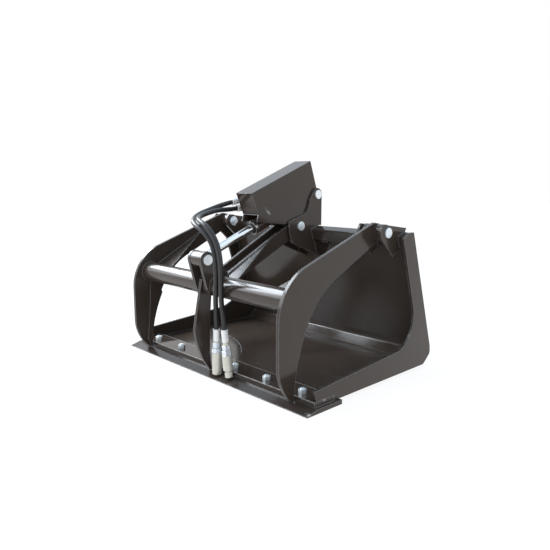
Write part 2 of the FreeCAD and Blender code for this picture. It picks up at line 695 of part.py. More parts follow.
def cross_bar():
    return round_bar(CROSS, CROSS_D, -ARM_INNER_X - 1, ARM_INNER_X + 1)


def gusset(x_root, width, reach, side):
    """Sloping triangle welded to the cross tube and to a plate that stands at x_root."""
    slope = GUSSET_SLOPE
    axis = polar(CROSS, GUSSET_LIFT, slope + 90)
    near = flat(axis, x_root)
    wide = flat(axis, x_root + side * width)
    square = flat(polar(axis, CROSS_R * GUSSET_STEP, slope), x_root + side * width)
    far = flat(polar(axis, reach, slope), x_root)
    down = polar((0, 0), GUSSET_THICK, slope - 90)
    face = Part.Face(Part.makePolygon([near, wide, square, far, near]))
    return clean(face.extrude(FreeCAD.Vector(0, down[0], down[1])).cut(cross_bar()))


def centre_plate():
    """Right plate of the centre arm, from the rod pin over the cross tube to the pivot."""
    x0 = CENTRE_INNER_X
    x1 = CENTRE_OUTER_X
    chin, chin_low, under = shifted(CROSS, CENTRE_CHIN)
    notch = shifted(CROSS, [CENTRE_NOTCH])[0]
    shoulder = shifted(PIVOT, [CENTRE_SHOULDER])[0]
    outline = [tangent(ROD_PIN, CENTRE_LOBE_R, chin, -1), chin, chin_low, under, arm_low_line(),
               tangent(PIVOT, CENTRE_LOBE_R, shoulder, -1), shoulder, notch,
               tangent(ROD_PIN, CENTRE_LOBE_R, notch, 1), ROD_PIN]
    blank = plate(outline, x0, x1)
    body = fuse([blank, round_bar(ROD_PIN, 2 * CENTRE_LOBE_R, x0, x1),
                 round_bar(PIVOT, 2 * CENTRE_LOBE_R, x0, x1)])
    body = body.cut(cross_bar()).cut(round_bar(ROD_PIN, PIN_D + 2 * FIT_CLEAR, x0 - 1, x1 + 1))
    body = body.cut(round_bar(PIVOT, CENTRE_BUSH_D, x0 - 1, x1 + 1))
    return max(body.Solids, key=lambda s: s.Volume)


def centre_tine():
    """Single curved plate from the cross tube down to the cutting edge."""
    half = CENTRE_THICK / 2
    top, front_high, knee, front_low, toe = shifted(CROSS, TINE_FRONT)
    rear = shifted(CROSS, TINE_REAR)
    outline = [top, (front_high, knee), (front_low, toe), (tip_front(), TIP_Z),
               (tip_front() + TIP_WIDTH, TIP_Z)] + rear
    return clean(plate(outline, -half, half).cut(cross_bar()))


# Cylinder pieces

def barrel():
    """Tube, base cap and cross eye of the cylinder, welded into one piece, with two ports."""
    cap_front = BASE_CAP_REACH + BASE_CAP_LENGTH
    body = fuse([bar_on_cylinder(BARREL_D, BASE_CAP_REACH, BARREL_FRONT),
                 bar_on_cylinder(BASE_NECK_D, 0, BASE_CAP_REACH + 1),
                 round_bar(BASE_PIN, 2 * BASE_EYE_R, -BASE_EYE_WIDTH / 2, BASE_EYE_WIDTH / 2)]
                + [port_boss(along) for along in port_places()])
    body = body.cut(bar_on_cylinder(BORE_D, cap_front, BARREL_FRONT + 1))
    body = body.cut(round_bar(BASE_PIN, PIN_D + 2 * RUN_CLEAR, -BASE_EYE_WIDTH, BASE_EYE_WIDTH))
    for along in port_places():
        body = body.cut(port_bar(LINE_D / 2, along, 0, BARREL_D))
    return clean(body)


def port_places():
    return [BASE_CAP_REACH + BASE_CAP_LENGTH + PORT_D, BARREL_FRONT - GLAND_LENGTH - PORT_D / 4]


def port_bar(diameter, along, low, high):
    """Round bar that stands across the cylinder's axis."""
    direction = FreeCAD.Vector(0, CYL_ACROSS[0], CYL_ACROSS[1])
    return Part.makeCylinder(diameter / 2, high - low, flat(on_cylinder(along, low)), direction)


def port_boss(along):
    return port_bar(PORT_D, along, BORE_D / 2, BARREL_D / 2 + PORT_HEIGHT)


def gland():
    """Screwed-in head that guides the rod, with a lip outside the tube."""
    body = fuse([bar_on_cylinder(BORE_D, BARREL_FRONT - GLAND_LENGTH + GLAND_LIP, BARREL_FRONT),
                 bar_on_cylinder(BARREL_D, BARREL_FRONT, BARREL_FRONT + GLAND_LIP)])
    return clean(body.cut(bar_on_cylinder(ROD_D + 2 * RUN_CLEAR, 0, CYL_LENGTH)))


def rod_shaft():
    """Chromed rod from the piston to its cross eye."""
    inner = BARREL_FRONT - GLAND_LENGTH - PISTON_LENGTH
    rod = bar_on_cylinder(ROD_D, inner, CYL_LENGTH - ROD_EYE_R + ROD_EYE_OVERLAP)
    return clean(rod.cut(rod_eye_bar()))


def rod_eye_bar():
    return round_bar(ROD_PIN, 2 * ROD_EYE_R, -ROD_EYE_WIDTH / 2, ROD_EYE_WIDTH / 2)


def rod_eye():
    """Cross eye of the rod. Its bore is wide, because the linkage is opened at this pin."""
    hole = round_bar(ROD_PIN, PIN_D + 2 * OPEN_PIN_CLEAR, -ROD_EYE_WIDTH, ROD_EYE_WIDTH)
    return clean(rod_eye_bar().cut(hole))


def piston():
    """Piston on the rod's end, with two seal grooves."""
    start = BARREL_FRONT - GLAND_LENGTH - PISTON_LENGTH
    body = bar_on_cylinder(BORE_D - 2 * RUN_CLEAR, start, start + PISTON_LENGTH)
    for share in (0.3, 0.7):
        middle = start + PISTON_LENGTH * share
        low = middle - PISTON_GROOVE / 2
        high = middle + PISTON_GROOVE / 2
        groove = bar_on_cylinder(BORE_D + 2, low, high)
        body = body.cut(groove.cut(bar_on_cylinder(BORE_D - 2 * PISTON_GROOVE, low, high)))
    return clean(body.cut(bar_on_cylinder(ROD_D, start - 1, start + PISTON_LENGTH + 1)))


def hood():
    """Folded guard over the cylinder: top, front and two sides, open below."""
    lip = on_cylinder(HOOD_LIP_ALONG, HOOD_LIP_ACROSS)
    outline = [on_cylinder(HOOD_BACK, HOOD_TOP), on_cylinder(HOOD_FRONT, HOOD_TOP), lip]
    outline += [on_cylinder(along, across) for along, across in HOOD_CHEEK]
    back = HOOD_BACK - HOOD_CUT
    front = HOOD_CHEEK[0][0] + HOOD_CUT
    low = HOOD_LOW - HOOD_CUT
    cavity = [on_cylinder(back, HOOD_TOP - HOOD_THICK), on_cylinder(HOOD_FRONT - HOOD_THICK, HOOD_TOP - HOOD_THICK),
              on_cylinder(HOOD_LIP_ALONG - HOOD_THICK, HOOD_LIP_ACROSS), on_cylinder(front, HOOD_CHEEK[0][1]),
              on_cylinder(front, low), on_cylinder(back, low)]
    half = HOOD_WIDTH / 2
    body = fuse([plate(outline, -half, half), round_bar(BASE_PIN, HOOD_EYE_D, -half, half)])
    body = body.cut(plate(cavity, -half + HOOD_THICK, half - HOOD_THICK))
    body = body.cut(round_bar(BASE_PIN, PIN_D + 2 * RUN_CLEAR, -half - 1, half + 1))
    for along, across in ELBOWS:
        body = body.cut(round_bar(on_cylinder(along, across), PORT_D + 2 * FIT_CLEAR, -half - 1, 0))
    return clean(body)


# Hydraulic lines inside the guard, bulkhead elbows and hoses

def elbow_knee(index):
    """Point where an elbow turns from its stem to its outlet."""
    return flat(on_cylinder(*ELBOWS[index]), -HOOD_WIDTH / 2 - ELBOW_REACH)


def outlet_direction(index):
    return (FreeCAD.Vector(*HOSE_ROUTES[index][0]) - elbow_knee(index)).normalize()


def hose_exit(index):
    """Point where a hose leaves its elbow."""
    return elbow_knee(index) + outlet_direction(index) * PORT_D


def elbow(index):
    """Bulkhead elbow: a stem through the guard's side and an outlet in line with its hose."""
    place = on_cylinder(*ELBOWS[index])
    knee = elbow_knee(index)
    x_out = -HOOD_WIDTH / 2
    x_in = x_out + HOOD_THICK
    stem = round_bar(place, PORT_D, knee.x, x_in + BULKHEAD_NUT + PORT_HEIGHT)
    ball = Part.makeSphere(PORT_D / 2, knee)
    outlet = Part.makeCylinder(PORT_D / 2, PORT_D, knee, outlet_direction(index))
    flange = round_bar(place, ELBOW_FLANGE_D, x_out - BULKHEAD_NUT, x_out)
    lock_nut = round_bar(place, ELBOW_FLANGE_D, x_in, x_in + BULKHEAD_NUT)
    return fuse([stem, ball, outlet, flange, lock_nut])


def eye_spacers():
    """Two sleeves on the base pin, between the cylinder's eye and the guard's sides."""
    low = BASE_EYE_WIDTH / 2
    high = HOOD_WIDTH / 2 - HOOD_THICK
    return Part.makeCompound([bushing(BASE_PIN, BUSH_D, low, high), bushing(BASE_PIN, BUSH_D, -high, -low)])


def line(index):
    """Steel line inside the guard, from a port of the barrel to its elbow."""
    along, across = ELBOWS[index]
    port = flat(on_cylinder(port_places()[index], BARREL_D / 2 + PORT_HEIGHT))
    stem_end = -HOOD_WIDTH / 2 + HOOD_THICK + BULKHEAD_NUT + PORT_HEIGHT
    goal = flat(on_cylinder(along, across), stem_end)
    riser = flat(on_cylinder(port_places()[index], across))
    corner = flat(on_cylinder(along, across))
    return tube_run([port, riser, corner, goal], LINE_D, LINE_BEND)


def tube_run(points, diameter, radius):
    """Round rod through the points, with arcs of one radius at its corners."""
    edges = []
    here = points[0]
    for before, corner, after in zip(points, points[1:], points[2:]):
        a = (before - corner).normalize()
        b = (after - corner).normalize()
        half = a.getAngle(b) / 2
        reach = radius / math.tan(half)
        first = corner + a * reach
        last = corner + b * reach
        middle = corner + (a + b).normalize() * (radius / math.sin(half) - radius)
        if here.distanceToPoint(first) > 1e-6:
            edges.append(Part.LineSegment(here, first).toShape())
        edges.append(Part.Arc(first, middle, last).toShape())
        here = last
    edges.append(Part.LineSegment(here, points[-1]).toShape())
    return sweep(edges, points[0], points[1] - points[0], diameter)


def sweep(edges, start, direction, diameter):
    path = Part.Wire(edges)
    ring = Part.Wire([Part.makeCircle(diameter / 2, start, direction)])
    return path.makePipeShell([ring], True, False)


def coupler_frame(index):
    """Tip and unit direction of a coupler, from its tip to the last point of its hose's route."""
    tip = FreeCAD.Vector(*COUPLER_TIPS[index])
    direction = (FreeCAD.Vector(*HOSE_ROUTES[index][-1]) - tip).normalize()
    return tip, direction


def revolve_along(profile, tip, direction):
    """Solid turned about a slanted axis from (distance, radius) pairs."""
    points = [FreeCAD.Vector(0, 0, profile[0][0])]
    points += [FreeCAD.Vector(radius, 0, distance) for distance, radius in profile]
    points += [FreeCAD.Vector(0, 0, profile[-1][0]), points[0]]
    turned = Part.Face(Part.makePolygon(points)).revolve(FreeCAD.Vector(0, 0, 0), FreeCAD.Vector(0, 0, 1), 360)
    turn = FreeCAD.Rotation(FreeCAD.Vector(0, 0, 1), direction)
    turned.Placement = FreeCAD.Placement(tip, turn)
    return turned


def coupler(index):
    """Half of a quick coupler: the first with a grooved sleeve, the second with a nose that plugs in."""
    tip, direction = coupler_frame(index)
    return revolve_along(COUPLER_PROFILES[index], tip, direction)


def ferrule(start, direction):
    """Crimped sleeve on a hose end, with two rings."""
    return revolve_along(FERRULE_PROFILE, start, direction)


def hose_points(index):
    """Route of a hose between its two ferrules."""
    route = [FreeCAD.Vector(*p) for p in HOSE_ROUTES[index]]
    first = hose_exit(index) + outlet_direction(index) * FERRULE_LENGTH
    tip, direction = coupler_frame(index)
    last = tip + direction * (COUPLER_LENGTH + FERRULE_LENGTH)
    return [first] + route + [last]


def hose(index):
    """Hose of straight runs joined by tangent arcs as large as the runs allow."""
    points = hose_points(index)
    edges = []
    here = points[0]
    for i in range(1, len(points) - 1):
        before, corner, after = points[i - 1], points[i], points[i + 1]
        a = before - corner
        b = after - corner
        shorter = min(a.Length, b.Length)
        half_turn = (math.pi - a.getAngle(b)) / 2
        reach = ARC_SHARE * shorter
        radius = reach / math.tan(half_turn)
        print("hose", index + 1, "run", round(a.Length), "turn", round(math.degrees(2 * half_turn)),
              "radius", round(radius))
        first = corner + a.normalize() * reach
        last = corner + b.normalize() * reach
        bisector = (a + b).normalize()
        middle = corner + bisector * (radius / math.cos(half_turn) - radius)
        edges.append(Part.LineSegment(here, first).toShape())
        edges.append(Part.Arc(first, middle, last).toShape())
        here = last
    edges.append(Part.LineSegment(here, points[-1]).toShape())
    body = sweep(edges, points[0], points[1] - points[0], HOSE_D)
    length = sum(edge.Length for edge in edges)
    section = math.pi * HOSE_D ** 2 / 4
    print("hose", index + 1, "length", round(length), "volume ratio", round(body.Volume / (section * length), 4))
    return body


def start_ferrule(index):
    return ferrule(hose_exit(index), outlet_direction(index))


def end_ferrule(index):
    tip, direction = coupler_frame(index)
    return ferrule(tip + direction * COUPLER_LENGTH, direction)


def main():
    os.makedirs("parts", exist_ok=True)

    # Bucket
    save("cutting_edge", cutting_edge())
    save("base_edge", base_edge())
    save("plow_bolts", Part.makeCompound(bolt_shanks(0)))
    save("hex_nuts", hex_nuts())
    save("floor_shell", floor_shell())
    save("side_plate_right", side_plate())
    save("side_plate_left", mirrored(side_plate()))
    save("top_tube", top_tube())
    save("wear_strips", wear_strips())
    save("outer_ear_right", outer_ear())
    save("outer_ear_left", mirrored(outer_ear()))
    save("inner_ear_right", inner_ear())
    save("inner_ear_left", mirrored(inner_ear()))
    save("mast_plate_right", mast_plate())
    save("mast_plate_left", mirrored(mast_plate()))
    save("attach_plate", attach_plate())
    save("attach_ribs", attach_ribs())

    # Pins, each with its head on the right, or outside on the left arm
    pins = {"pivot_pin_right": (PIVOT, INNER_EAR_X, OUTER_EAR_X),
            "pivot_pin_centre": (PIVOT, -MAST_OUTER_X, MAST_OUTER_X),
            "base_pin": (BASE_PIN, -MAST_OUTER_X, MAST_OUTER_X)}
    washers = []
    keepers = []
    for name, (centre, x0, x1) in pins.items():
        save(name, pin(centre, x0, x1, PIN_D, PIN_HEAD_D))
        washers.append(pin_washer(centre, x0, PIN_D))
        keepers.append(roll_pin(centre, x0, PIN_D))
    save("pivot_pin_left", mirrored(pin(PIVOT, INNER_EAR_X, OUTER_EAR_X, PIN_D, PIN_HEAD_D)))
    washers.append(mirrored(pin_washer(PIVOT, INNER_EAR_X, PIN_D)))
    keepers.append(mirrored(roll_pin(PIVOT, INNER_EAR_X, PIN_D)))
    save("pin_washers", Part.makeCompound(washers))
    save("roll_pins", Part.makeCompound(keepers))

    # Grapple
    save("arm_right", arm())
    save("arm_left", mirrored(arm()))
    save("doubler_right", doubler())
    save("doubler_left", mirrored(doubler()))
    save("cross_tube", cross_tube())
    save("gusset_right", gusset(ARM_INNER_X, GUSSET_WIDTH, GUSSET_REACH, LEFT))
    save("gusset_left", gusset(-ARM_INNER_X, GUSSET_WIDTH, GUSSET_REACH, RIGHT))
    save("gusset_centre", gusset(CENTRE_OUTER_X, CENTRE_GUSSET_WIDTH, CENTRE_GUSSET_REACH, RIGHT))
    save("centre_plate_right", centre_plate())
    save("centre_plate_left", mirrored(centre_plate()))
    save("centre_tine", centre_tine())
    save("bushing_right", arm_bushing())
    save("bushing_left", mirrored(arm_bushing()))
    centre_half = MAST_INNER_X - SIDE_CLEAR
    save("bushing_centre", bushing(PIVOT, CENTRE_BUSH_D, -centre_half, centre_half))
    save("rod_pin", pin(ROD_PIN, -CENTRE_OUTER_X, CENTRE_OUTER_X, PIN_D, ROD_PIN_HEAD_D))
    save("rod_pin_washer", pin_washer(ROD_PIN, -CENTRE_OUTER_X, PIN_D))
    save("rod_roll_pin", roll_pin(ROD_PIN, -CENTRE_OUTER_X, PIN_D))

    # Cylinder
    save("barrel", barrel())
    save("gland", gland())
    save("hood", hood())
    save("eye_spacers", eye_spacers())
    save("rod_shaft", rod_shaft())
    save("rod_eye", rod_eye())
    save("piston", piston())
    for index, end in enumerate(("base", "rod")):
        save(end + "_line", line(index))
        save(end + "_elbow", elbow(index))

    # Hoses
    for index in range(2):
        number = str(index + 1)
        save("hose_" + number, hose(index))
        save("hose_ferrule_" + number, start_ferrule(index))
        save("coupler_ferrule_" + number, end_ferrule(index))
        save("coupler_" + number, coupler(index))


main()
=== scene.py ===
import bpy, bmesh, math
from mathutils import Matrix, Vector


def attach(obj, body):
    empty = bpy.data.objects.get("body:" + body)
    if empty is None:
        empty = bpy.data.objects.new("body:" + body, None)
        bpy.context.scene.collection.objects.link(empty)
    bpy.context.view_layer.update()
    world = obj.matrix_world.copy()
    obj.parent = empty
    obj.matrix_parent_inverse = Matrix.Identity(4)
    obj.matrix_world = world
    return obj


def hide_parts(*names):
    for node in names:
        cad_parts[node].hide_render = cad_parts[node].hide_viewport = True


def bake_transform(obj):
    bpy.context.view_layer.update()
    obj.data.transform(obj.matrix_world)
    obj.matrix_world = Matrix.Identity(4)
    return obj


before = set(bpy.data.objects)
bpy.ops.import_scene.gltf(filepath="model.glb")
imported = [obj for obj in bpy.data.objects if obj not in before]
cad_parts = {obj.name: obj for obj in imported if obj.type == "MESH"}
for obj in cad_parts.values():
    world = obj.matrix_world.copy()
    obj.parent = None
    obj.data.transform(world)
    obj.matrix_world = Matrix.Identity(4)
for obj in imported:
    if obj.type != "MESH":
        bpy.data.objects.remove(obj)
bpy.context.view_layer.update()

# Camera at the photograph's place, for its frame of 550 by 550 pixels
FRAME_SIDE = 550
FOCAL_PX = 555.78
CENTRE_PX = (275.0, 276.0)
SENSOR = 36.0
CAMERA_PLACE = (1.7077, -1.2428, 0.7499)
CAMERA_DEGREES = (80.4581, -0.1197, 46.3007)

camera_data = bpy.data.cameras.new("photo_camera")
camera = bpy.data.objects.new("photo_camera", camera_data)
bpy.context.scene.collection.objects.link(camera)
bpy.context.scene.camera = camera
camera_data.sensor_width = SENSOR
camera_data.lens = FOCAL_PX / FRAME_SIDE * SENSOR
camera_data.shift_x = (FRAME_SIDE / 2 - CENTRE_PX[0]) / FRAME_SIDE
camera_data.shift_y = (CENTRE_PX[1] - FRAME_SIDE / 2) / FRAME_SIDE
camera_data.clip_start = 0.05
camera_data.clip_end = 60.0
camera.location = CAMERA_PLACE
camera.rotation_euler = [math.radians(angle) for angle in CAMERA_DEGREES]


# Sizes and places repeated from the part's source, in metres. A pair is a place's y and z.

EDGE_THICK = 0.016
BASE_FRONT, BASE_REAR, BASE_TOP = 0.050, 0.149, 0.035
FLOOR_TOP = 0.024
SIDE_X, SIDE_INNER_X = 0.545, 0.5355
INNER_SHELL = [(0.149, 0.024), (0.7092, 0.024), (0.7515, 0.0584), (0.7482, 0.0863), (0.6094, 0.5132)]
TUBE_CORNERS = [(0.6013, 0.564), (0.553, 0.5483), (0.5687, 0.500), (0.617, 0.5157)]
TUBE_FOOT = (0.572, 0.4985)
BASE_PIN = (0.592, 0.699)
ROD_PIN = (0.0, 0.463)
CROSS, CROSS_R = (0.050, 0.358), 0.0413
ARM_INNER_X = 0.4473
CENTRE_X, CENTRE_INNER_X, TINE_X = 0.041, 0.0283, 0.00635
OUTER_EAR_X, EAR_THICK, EAR_SPAN = 0.505, 0.0095, 0.111
MAST_INNER_X, MAST_OUTER_X = 0.048, 0.0575
MAST_FOOT = [(0.5735, 0.496), (0.5935, 0.4355)]
BOLT_Y, BOLT_PITCH, BOLT_COUNT = 0.087, 0.1825, 6
HOSE_D = 0.019
COUPLER_LENGTH, FERRULE_LENGTH = 0.136, 0.048

# The cylinder's axis runs from the base pin to the rod pin. BARREL_R and PORT_R are where beads lie.
CYL_LENGTH = math.dist(ROD_PIN, BASE_PIN)
ALONG = ((ROD_PIN[0] - BASE_PIN[0]) / CYL_LENGTH, (ROD_PIN[1] - BASE_PIN[1]) / CYL_LENGTH)
ACROSS = (ALONG[1], -ALONG[0])
BARREL_FRONT = CYL_LENGTH - 0.288
BARREL_R = 0.0302
CAP, CAP_R = 0.040, 0.0275
PORTS, PORT_R = (0.086, BARREL_FRONT - 0.046 - 0.0055), 0.0115


def on_cylinder(along, across, x=0.0):
    """Point from a distance along and above the cylinder's axis."""
    return Vector((x, BASE_PIN[0] + ALONG[0] * along + ACROSS[0] * across,
                   BASE_PIN[1] + ALONG[1] * along + ACROSS[1] * across))


def spread(count, pitch):
    """Places at an even pitch on both sides of the middle."""
    return [(i - (count - 1) / 2) * pitch for i in range(count)]


def angles(count):
    return [2 * math.pi * i / count for i in range(count)]


def link(name, data):
    item = bpy.data.objects.new(name, data)
    bpy.context.scene.collection.objects.link(item)
    return item


# MESHES

def add_tube(mesh_data, points, radii, sides, closed=False):
    """Tube through the points, with one radius at each, added to a mesh."""
    count = len(points)
    rings = []
    tangent = (points[1] - points[0]).normalized()
    side = tangent.orthogonal().normalized()
    for i, point in enumerate(points):
        before = points[i - 1] if i or closed else points[0]
        after = points[(i + 1) % count] if i < count - 1 or closed else points[-1]
        turned = (after - before).normalized()
        side = (side - turned * side.dot(turned)).normalized()
        up = turned.cross(side)
        rings.append([mesh_data.verts.new(point + (side * math.cos(a) + up * math.sin(a)) * radii[i])
                      for a in angles(sides)])
    for i in range(count if closed else count - 1):
        first, second = rings[i], rings[(i + 1) % count]
        # the last ring of a closed tube may be turned against the first
        shift = 0
        if closed and i == count - 1:
            shift = min(range(sides), key=lambda n: (first[0].co - second[n].co).length)
        for k in range(sides):
            mesh_data.faces.new((first[k], first[(k + 1) % sides],
                                 second[(k + 1 + shift) % sides], second[(k + shift) % sides]))
    if not closed:
        mesh_data.faces.new(rings[0])
        mesh_data.faces.new(rings[-1])


# A ferrule is crimped by jaws, which press it in a little
CRIMP_DEPTH, CRIMP_JAWS = 0.0004, 8


def turned_piece(mesh_data, start, direction, sections, sides=60):
    """Solid of cross sections: (distance, radius, form), with form round, hex or crimp.
    The hexagons' faces take the piece's second finish."""
    side = direction.orthogonal().normalized()
    up = direction.cross(side)
    rings = []
    for distance, radius, form in sections:
        ring = []
        for a in angles(sides):
            r = radius
            if form == "hex":
                sector = (a + math.pi / 6) % (math.pi / 3) - math.pi / 6
                r = radius / math.cos(sector)
            elif form == "crimp":
                r = radius - CRIMP_DEPTH * (0.5 + 0.5 * math.cos(CRIMP_JAWS * a)) ** 3
            out = side * math.cos(a) + up * math.sin(a)
            ring.append(mesh_data.verts.new(start + direction * distance + out * r))
        rings.append(ring)
    for at, (first, second) in enumerate(zip(rings, rings[1:])):
        on_hexagon = sections[at][2] == "hex" and sections[at + 1][2] == "hex"
        for k in range(sides):
            n = (k + 1) % sides
            face = mesh_data.faces.new((first[k], first[n], second[n], second[k]))
            face.material_index = 1 if on_hexagon else 0
    mesh_data.faces.new(rings[0])
    mesh_data.faces.new(rings[-1])


# A weld bead is made in short steps. Ripples are the overlaps that the torch leaves.
WELD_STEP = 0.0018
WELD_SIDES = 8
RIPPLE_LENGTH, RIPPLE = 0.0075, 0.10
SWELL_RATE, SWELL = 61.0, 0.05
BEAD = {"shell": 0.0042, "cap": 0.0040, "base_edge": 0.0038, "plate": 0.0036, "ear": 0.0034,
        "gusset": 0.0032, "port": 0.0026}


def weld(mesh_data, corners, radius, closed=False):
    """Weld bead along a line, added to a mesh."""
    line = [Vector(p) for p in corners]
    if closed:
        line.append(line[0])
    lengths = [0.0]
    for a, b in zip(line, line[1:]):
        lengths.append(lengths[-1] + (b - a).length)
    count = max(6, round(lengths[-1] / WELD_STEP))
    points, radii = [], []
    step = 0
    for i in range(count if closed else count + 1):
        at = lengths[-1] * i / count
        while step < len(lengths) - 2 and at > lengths[step + 1]:
            step += 1
        share = (at - lengths[step]) / max(lengths[step + 1] - lengths[step], 1e-9)
        points.append(line[step].lerp(line[step + 1], share))
        ripple = (1.0 + RIPPLE * abs(math.sin(at * math.pi / RIPPLE_LENGTH))
                  + SWELL * math.sin(at * SWELL_RATE))
        # an open bead is thin where it starts and stops
        end = 1.0 if closed else min(1.0, 0.35 + min(i, count - i) * 0.3)
        radii.append(radius * ripple * end)
    add_tube(mesh_data, points, radii, WELD_SIDES, closed)


def circle(centre, radius, x, start=0.0, stop=360.0, count=48):
    """Points of an arc about an axis along X, from one angle in degrees to another."""
    points = []
    for i in range(count + (stop - start < 360.0)):
        a = math.radians(start + (stop - start) * i / count)
        points.append((x, centre[0] + radius * math.cos(a), centre[1] + radius * math.sin(a)))
    return points


# HOSES

# Control points from the elbow's ferrule to the coupler's
ROUTES = [
    [(-0.090, 0.178, 0.661), (-0.097, 0.122, 0.643), (-0.085, 0.062, 0.629), (-0.052, 0.005, 0.613),
     (0.000, -0.030, 0.597), (0.061, -0.030, 0.575), (0.103, -0.021, 0.529), (0.118, -0.019, 0.460),
     (0.113, -0.016, 0.386), (0.091, -0.003, 0.319), (0.066, 0.018, 0.260)],
    [(-0.069, 0.193, 0.641), (-0.060, 0.134, 0.642), (-0.053, 0.070, 0.631), (-0.029, 0.013, 0.619),
     (0.021, -0.022, 0.611), (0.082, -0.028, 0.592), (0.131, -0.022, 0.539), (0.153, -0.023, 0.457),
     (0.146, -0.019, 0.373), (0.114, 0.006, 0.310), (0.099, 0.025, 0.256)],
]
# Elbows' places along and above the cylinder's axis, and the couplers' lower ends
ELBOWS, ELBOW_X = [(0.285, 0.097), (0.282, 0.0595)], -0.075
OUTLET = 0.022
TIPS = [Vector((0.055, 0.0275, 0.0147)), Vector((0.1245, 0.0305, 0.0186))]
# Length between the far ends, and how much of it a ferrule grips
CRIMPED = 0.036
HOSE_SIDES = 28


def smooth_line(points):
    """Points along the smooth spline that a route's points control."""
    curve = bpy.data.curves.new("line", "CURVE")
    curve.dimensions = "3D"
    spline = curve.splines.new("NURBS")
    spline.points.add(len(points) - 1)
    for place, point in zip(spline.points, points):
        place.co = (*point, 1.0)
    spline.order_u = 3
    spline.use_endpoint_u = True
    spline.resolution_u = 12
    holder = link("line", curve)
    line = [vertex.co.copy() for vertex in bpy.data.meshes.new_from_object(holder).vertices]
    bpy.data.objects.remove(holder)
    return line


def ends_of(index):
    """Elbow's outlet with its direction, and the coupler's tip with its direction."""
    knee = on_cylinder(*ELBOWS[index], x=ELBOW_X)
    out = (Vector(ROUTES[index][0]) - knee).normalized()
    tip = TIPS[index]
    up = (Vector(ROUTES[index][-1]) - tip).normalized()
    return knee + out * OUTLET, out, tip, up


hoses = []
for index in range(2):
    number = str(index + 1)
    exit_point, out, tip, up = ends_of(index)
    start = exit_point + out * FERRULE_LENGTH
    end = tip + up * (COUPLER_LENGTH + FERRULE_LENGTH - CRIMPED)
    line = smooth_line([start] + [Vector(p) for p in ROUTES[index]] + [end])
    tube = bmesh.new()
    add_tube(tube, line, [HOSE_D / 2] * len(line), HOSE_SIDES)
    bmesh.ops.recalc_face_normals(tube, faces=tube.faces)
    mesh = bpy.data.meshes.new("rubber_hose_" + number)
    tube.to_mesh(mesh)
    tube.free()
    for face in mesh.polygons:
        face.use_smooth = len(face.vertices) == 4
    hose = link("rubber_hose_" + number, mesh)
    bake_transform(hose)
    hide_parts("hose_" + number)
    hoses.append((hose, start, line))


# SHADER NODES

def new_material(name):
    """Material with its tree, its shader and the object's own coordinates."""
    material = bpy.data.materials.new(name)
    material.use_nodes = True
    tree = material.node_tree
    place = tree.nodes.new("ShaderNodeTexCoord").outputs["Object"]
    return material, tree, tree.nodes["Principled BSDF"], place


def noise(tree, place, scale, detail=3.0, rough=0.5):
    node = tree.nodes.new("ShaderNodeTexNoise")
    node.inputs["Scale"].default_value = scale
    node.inputs["Detail"].default_value = detail
    node.inputs["Roughness"].default_value = rough
    tree.links.new(place, node.inputs["Vector"])
    return node.outputs["Fac"]


def span(tree, value, low, high, to_low, to_high):
    """Value carried from one range to another, and kept inside it."""
    node = tree.nodes.new("ShaderNodeMapRange")
    tree.links.new(value, node.inputs["Value"])
    for key, number in (("From Min", low), ("From Max", high), ("To Min", to_low), ("To Max", to_high)):
        node.inputs[key].default_value = number
    return node.outputs["Result"]


def maths(tree, operation, first, second=None):
    node = tree.nodes.new("ShaderNodeMath")
    node.operation = operation
    for slot, value in zip(node.inputs, (first, second)):
        if isinstance(value, (int, float)):
            slot.default_value = value
        elif value is not None:
            tree.links.new(value, slot)
    return node.outputs["Value"]


def product(tree, first, *others):
    for other in others:
        first = maths(tree, "MULTIPLY", first, other)
    return first


def vectors(tree, operation, first, second=None):
    node = tree.nodes.new("ShaderNodeVectorMath")
    node.operation = operation
    tree.links.new(first, node.inputs[0])
    if isinstance(second, (tuple, Vector)):
        node.inputs[1].default_value = second
    elif second is not None:
        tree.links.new(second, node.inputs[1])
    return node.outputs["Vector" if operation == "SUBTRACT" else "Value"]


def split(tree, vector):
    node = tree.nodes.new("ShaderNodeSeparateXYZ")
    tree.links.new(vector, node.inputs["Vector"])
    return node.outputs


def blend_colour(tree, share, first, second):
    node = tree.nodes.new("ShaderNodeMix")
    node.data_type = "RGBA"
    for slot, value in ((node.inputs[0], share), (node.inputs[6], first), (node.inputs[7], second)):
        if isinstance(value, tuple):
            slot.default_value = (*value, 1.0)
        else:
            tree.links.new(value, slot)
    return node.outputs[2]


def bump(tree, shader, height, strength, distance, base=None):
    node = tree.nodes.new("ShaderNodeBump")
    node.inputs["Strength"].default_value = strength
    node.inputs["Distance"].default_value = distance
    tree.links.new(height, node.inputs["Height"])
    if base is not None:
        tree.links.new(base, node.inputs["Normal"])
    tree.links.new(node.outputs["Normal"], shader.inputs["Normal"])


def surface_normal(tree):
    return tree.nodes.new("ShaderNodeNewGeometry").outputs["Normal"]


def rounded_normal(tree, radius):
    node = tree.nodes.new("ShaderNodeBevel")
    node.samples = 4
    node.inputs["Radius"].default_value = radius
    return node.outputs["Normal"]


def edge_mask(tree, rounded):
    """Mask that is 1 where the rounded normal leaves the surface's own, on the sharp edges."""
    return span(tree, vectors(tree, "DOT_PRODUCT", rounded, surface_normal(tree)), 1.0, 0.92, 0.0, 1.0)


